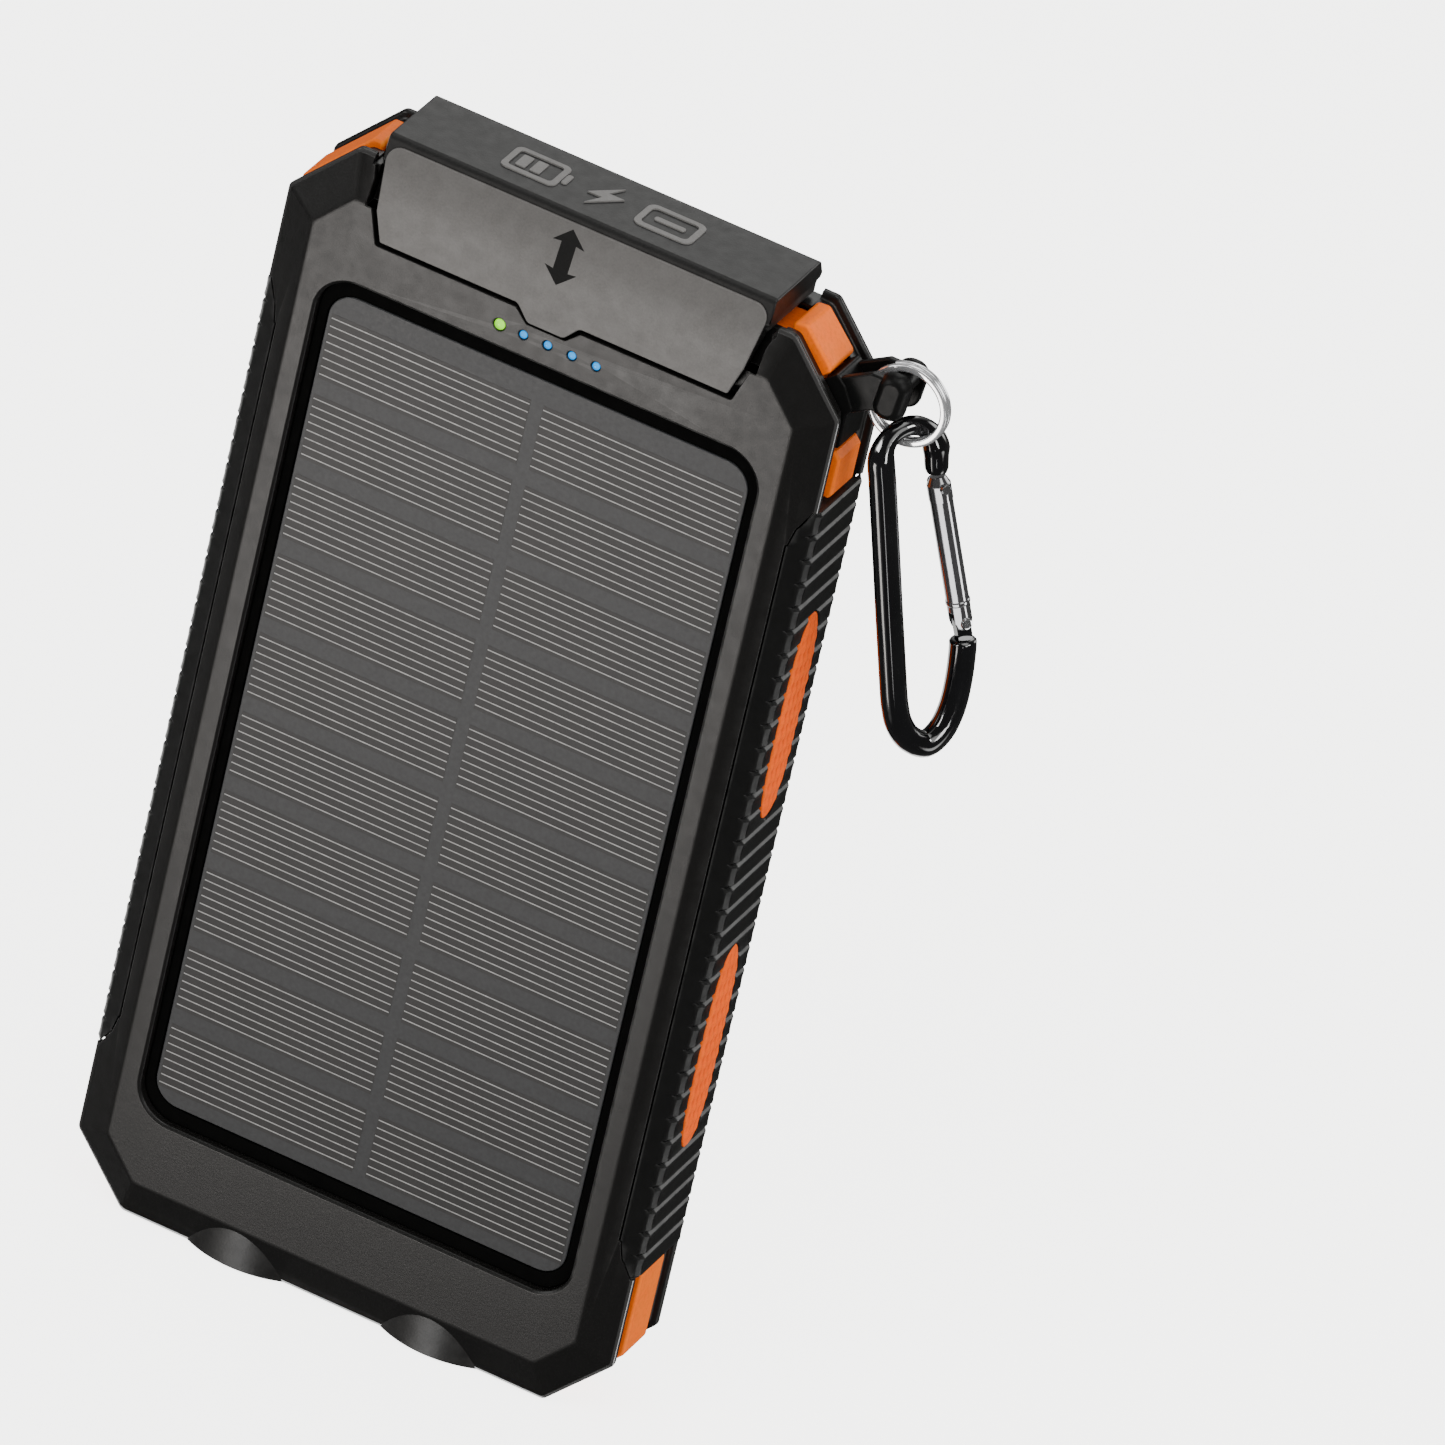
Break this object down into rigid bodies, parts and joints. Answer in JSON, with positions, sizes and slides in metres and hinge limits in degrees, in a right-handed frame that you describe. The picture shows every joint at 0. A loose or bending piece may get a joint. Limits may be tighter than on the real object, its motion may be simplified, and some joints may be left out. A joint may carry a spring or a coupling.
{
  "type": "solar phone charger",
  "caption": "Rugged solar power bank with a flap over its USB ports, twin end torches, a back compass and a snap hook on a side lug.",
  "frame": {"origin": "centre of the flat torch-end face of the orange middle frame, midway between the two torches", "axes": "+Z runs along the long side from the torch end to the flap over the ports, -Y is the solar face, +Y is the back with the compass, and +X is the side with the lug and the snap hook"},
  "size_m": [0.0969, 0.017, 0.16],
  "materials": {
    "charcoal_shell": "fine matte texture",
    "black_rubber": "matte",
    "orange_band": "satin",
    "orange_knurl": "knurled",
    "flap_rubber": "satin",
    "solar_cells": "clear gloss over dark cells",
    "fibreglass": "solder mask",
    "light_guide": "frosted",
    "black_gloss": "gloss",
    "polished_steel": "polished",
    "brushed_steel": "brushed",
    "zinc_steel": "zinc plated",
    "clear_lens": "clear",
    "mirror_cup": "vacuum metallised",
    "led_phosphor": "gloss",
    "compass_dial": "printed dial",
    "cell_foil": "laminated foil",
    "foam": "soft foam",
    "wire_red": "wire sleeve",
    "wire_black": "wire sleeve",
    "contact_plastic": "moulded",
    "chip_black": "moulded"
  },
  "bodies": {
    "case": {"front_casing": "charcoal_shell", "rear_casing": "charcoal_shell", "mid_frame": "orange_band", "side_grip_left": "black_rubber", "side_grip_right": "black_rubber", "grip_inlay_left_lower": "orange_knurl", "grip_inlay_left_upper": "orange_knurl", "grip_inlay_right_lower": "orange_knurl", "grip_inlay_right_upper": "orange_knurl", "flap_hinge_pin": "polished_steel", "case_screw_1": "zinc_steel", "case_screw_2": "zinc_steel", "case_screw_3": "zinc_steel", "case_screw_4": "zinc_steel", "screw_plug_1": "black_rubber", "screw_plug_2": "black_rubber", "screw_plug_3": "black_rubber", "screw_plug_4": "black_rubber", "tact_switch_body": "chip_black", "solar_laminate": "solar_cells", "solar_backing_board": "fibreglass", "indicator_light_guide": "light_guide", "compass_housing": "black_gloss", "compass_pivot": "brushed_steel", "compass_lens": "clear_lens", "torch_lens_left": "clear_lens", "torch_reflector_left": "mirror_cup", "torch_led_left": "led_phosphor", "torch_lens_right": "clear_lens", "torch_reflector_right": "mirror_cup", "torch_led_right": "led_phosphor", "torch_board": "fibreglass", "main_board": "fibreglass", "usb_a_shell_left": "brushed_steel", "usb_a_insert_left": "contact_plastic", "usb_a_shell_right": "brushed_steel", "usb_a_insert_right": "contact_plastic", "input_port_shell": "brushed_steel", "input_port_insert": "chip_black", "battery_cell": "cell_foil", "battery_pad": "foam", "boost_inductor": "chip_black", "control_chip": "chip_black", "battery_lead_red": "wire_red", "battery_lead_black": "wire_black", "solar_lead_red": "wire_red", "solar_lead_black": "wire_black", "torch_lead_red": "wire_red", "torch_lead_black": "wire_black", "lanyard_lug": "charcoal_shell"},
    "flap": {"usb_flap": "flap_rubber", "flap_seal": "black_rubber"},
    "button": {"power_button": "orange_band"},
    "plunger": {"tact_switch_plunger": "contact_plastic"},
    "compass_needle": {"compass_card": "compass_dial"},
    "ring": {"split_ring": "polished_steel"},
    "hook": {"carabiner_body": "black_gloss", "gate_rivet": "brushed_steel"},
    "gate": {"carabiner_gate": "brushed_steel", "gate_spring": "polished_steel"}
  },
  "joints": [
    {"name": "flap_hinge", "type": "hinge", "parent": "case", "child": "flap", "pos_m": [0, 0.00695, 0.1538], "axis": [-1, 0, 0], "range_deg": [0, 110]},
    {"name": "button_press", "type": "slide", "parent": "case", "child": "button", "axis": [1, 0, 0], "range_m": [0, 0.0004], "stiffness_N_per_m": 800, "springref_m": -0.0005},
    {"name": "switch_press", "type": "slide", "parent": "case", "child": "plunger", "axis": [1, 0, 0], "range_m": [0, 0.0004]},
    {"name": "compass_turn", "type": "hinge", "parent": "case", "child": "compass_needle", "pos_m": [0, 0.0067, 0.1362], "axis": [0, 1, 0], "continuous": true},
    {"name": "ring_swing", "type": "hinge", "parent": "case", "child": "ring", "pos_m": [0.04295, 0, 0.15303], "axis": [0, -1, 0], "range_deg": [0, 130]},
    {"name": "hook_slide_round_ring", "type": "hinge", "parent": "ring", "child": "hook", "pos_m": [0.0438, 0, 0.15], "axis": [0, -1, 0], "range_deg": [0, 60]},
    {"name": "gate_open", "type": "hinge", "parent": "hook", "child": "gate", "pos_m": [0.05522, 0.00473, 0.12189], "axis": [0.7792, -0.5878, 0.2177], "range_deg": [0, 14], "stiffness_Nm_per_rad": 0.02}
  ],
  "couplings": [
    {"joint": "switch_press", "follows": "button_press", "ratio": 1}
  ]
}
